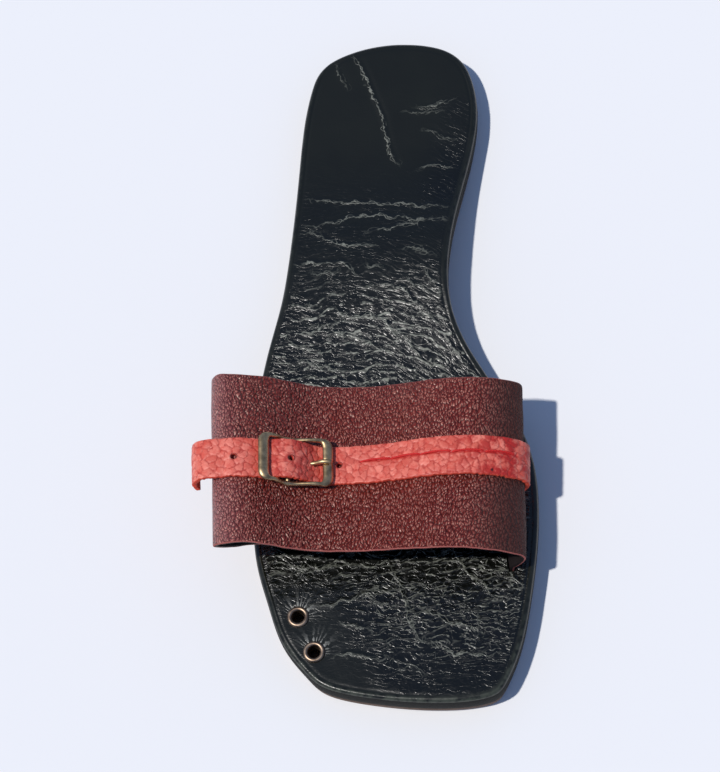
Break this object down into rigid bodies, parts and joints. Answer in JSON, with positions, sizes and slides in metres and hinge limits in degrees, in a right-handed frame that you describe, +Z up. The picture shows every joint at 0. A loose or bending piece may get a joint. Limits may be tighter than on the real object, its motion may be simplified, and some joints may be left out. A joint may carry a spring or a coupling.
{
  "type": "slide sandal",
  "caption": "Flat open slide sandal with a wide forefoot band let into slots in the footbed, a narrow buckled belt strap laid over it, and eyelets at the toe.",
  "frame": {"origin": "on the floor under the middle of the whole sandal", "axes": "+Y towards the heel, -Y towards the toe, +X towards the inner (big toe) side, +Z up"},
  "size_m": [0.1144, 0.252, 0.0436],
  "materials": {
    "outsole_leather": "brown sole leather, worn, matt",
    "footbed_leather": "black crinkled leather, glossy on its creases",
    "band_leather": "deep maroon pebbled leather, soft gloss",
    "strap_leather": "coral leather embossed with a snakeskin-like scale",
    "buckle_brass": "antiqued brass, darkened in its corners",
    "eyelet_bronze": "antiqued bronze, rolled edge"
  },
  "bodies": {
    "root": {"outsole": "outsole_leather", "footbed": "footbed_leather", "upper_band": "band_leather", "belt_strap": "strap_leather", "buckle_frame": "buckle_brass", "buckle_prong": "buckle_brass", "eyelet_rear": "eyelet_bronze", "eyelet_front": "eyelet_bronze"}
  },
  "joints": []
}
